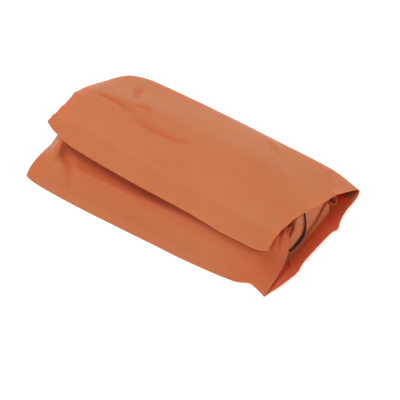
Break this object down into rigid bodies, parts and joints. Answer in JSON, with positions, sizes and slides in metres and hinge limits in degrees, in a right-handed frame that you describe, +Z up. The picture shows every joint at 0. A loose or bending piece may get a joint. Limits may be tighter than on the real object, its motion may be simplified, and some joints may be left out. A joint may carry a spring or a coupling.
{
  "type": "folded flexible stretcher",
  "caption": "Soft carry stretcher of woven orange nylon, folded flat for storage, with a cover flap over a front flap, black webbing straps and tucked handles.",
  "frame": {"origin": "on the surface it rests on, under the middle of the folded pack", "axes": "+X along the folded length towards the open end, +Y towards the back fold, +Z up"},
  "size_m": [0.35, 0.204, 0.07],
  "materials": {
    "outer_nylon": "fine plain weave, slight sheen",
    "inner_nylon": "fine plain weave, in shade",
    "hem_tape": "ribbed binding tape",
    "black_webbing": "flat woven webbing, matt",
    "stitch_thread": "dense bar stitches"
  },
  "bodies": {
    "base": {"base_leaf": "outer_nylon", "base_inner_leaf_lower": "inner_nylon", "base_inner_leaf_middle": "inner_nylon", "base_inner_leaf_upper": "inner_nylon", "base_inner_fold_front": "inner_nylon", "base_end_strap": "black_webbing", "base_strap_1": "black_webbing", "base_strap_2": "black_webbing", "base_strap_3": "black_webbing"},
    "cover": {"cover_leaf": "outer_nylon", "cover_inner_leaves": "inner_nylon", "cover_hem": "hem_tape", "cover_strap_1": "black_webbing", "cover_strap_2": "black_webbing", "cover_strap_3": "black_webbing", "cover_handle_left": "black_webbing", "cover_handle_right": "black_webbing", "cover_bartacks": "stitch_thread"},
    "front_flap": {"flap_leaf": "outer_nylon", "flap_inner_leaves": "inner_nylon", "flap_hem": "hem_tape", "flap_strap_1": "black_webbing", "flap_strap_2": "black_webbing", "flap_strap_3": "black_webbing", "flap_handle_left": "black_webbing", "flap_handle_right": "black_webbing", "flap_bartacks": "stitch_thread"}
  },
  "joints": [
    {"name": "cover_fold", "type": "hinge", "parent": "base", "child": "cover", "pos_m": [0, 0.1005, 0.024], "axis": [-1, 0, 0], "range_deg": [0, 165]},
    {"name": "flap_fold", "type": "hinge", "parent": "base", "child": "front_flap", "pos_m": [0, -0.1005, 0.0015], "axis": [1, 0, 0], "range_deg": [0, 136]}
  ],
  "couplings": [
    {"joint": "flap_fold", "follows": "cover_fold", "ratio": 0.82}
  ]
}
